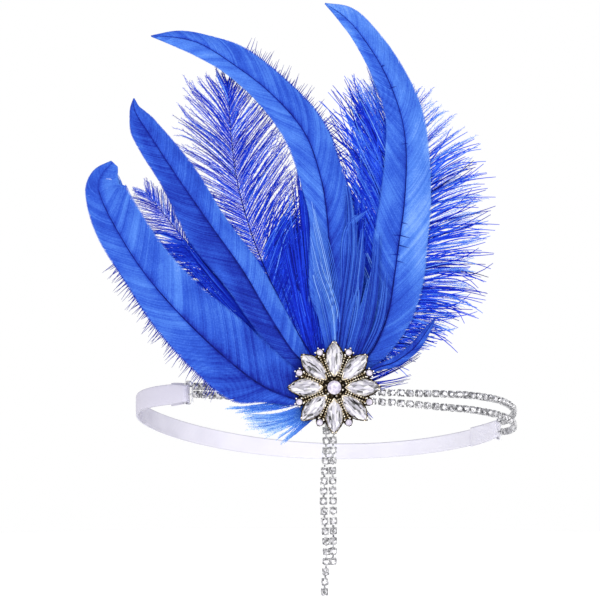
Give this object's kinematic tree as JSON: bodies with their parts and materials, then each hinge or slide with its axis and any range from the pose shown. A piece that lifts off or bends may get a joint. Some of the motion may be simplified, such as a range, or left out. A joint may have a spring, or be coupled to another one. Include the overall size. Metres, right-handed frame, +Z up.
{
  "type": "flapper headband",
  "caption": "Headband of elastic and two cup chains with a stone flower brooch, a fan of blue feathers and two hanging chains.",
  "frame": {"origin": "middle of the loop, where it sits on the head", "axes": "+Z up, -Y towards the front, +X towards the wearer's left"},
  "size_m": [0.2008, 0.1933, 0.2625],
  "materials": {
    "elastic": "woven elastic, near white",
    "silver_chain": "silver cups with clear round stones",
    "silver_wire": "bright silver",
    "antique_brass": "antique brass, dark in the recesses",
    "crystal": "clear faceted, foiled back",
    "pearl": "pearly, gloss",
    "feather": "dyed feather vane, royal blue, dark shaft",
    "plume": "loose dyed barbs, royal blue",
    "felt": "felt"
  },
  "bodies": {
    "root": {"elastic_strap": "elastic", "end_frame_left": "silver_wire", "end_frame_right": "silver_wire", "chain_upper": "silver_chain", "chain_lower": "silver_chain", "tassel_long": "silver_chain", "tassel_short": "silver_chain", "brooch_setting": "antique_brass", "petal_stone_1": "crystal", "petal_stone_2": "crystal", "petal_stone_3": "crystal", "petal_stone_4": "crystal", "petal_stone_5": "crystal", "petal_stone_6": "crystal", "petal_stone_7": "crystal", "petal_stone_8": "crystal", "centre_stone": "pearl", "accent_stone_1": "pearl", "accent_stone_2": "pearl", "accent_stone_3": "pearl", "accent_stone_4": "pearl", "accent_stone_5": "pearl", "accent_stone_6": "pearl", "accent_stone_7": "pearl", "accent_stone_8": "pearl", "feather_left": "feather", "feather_inner": "feather", "feather_curled": "feather", "feather_tall": "feather", "feather_side": "feather", "plume_centre": "plume", "plume_small": "plume", "plume_right": "plume", "down_tuft": "plume", "backing_pad": "felt"}
  },
  "joints": []
}
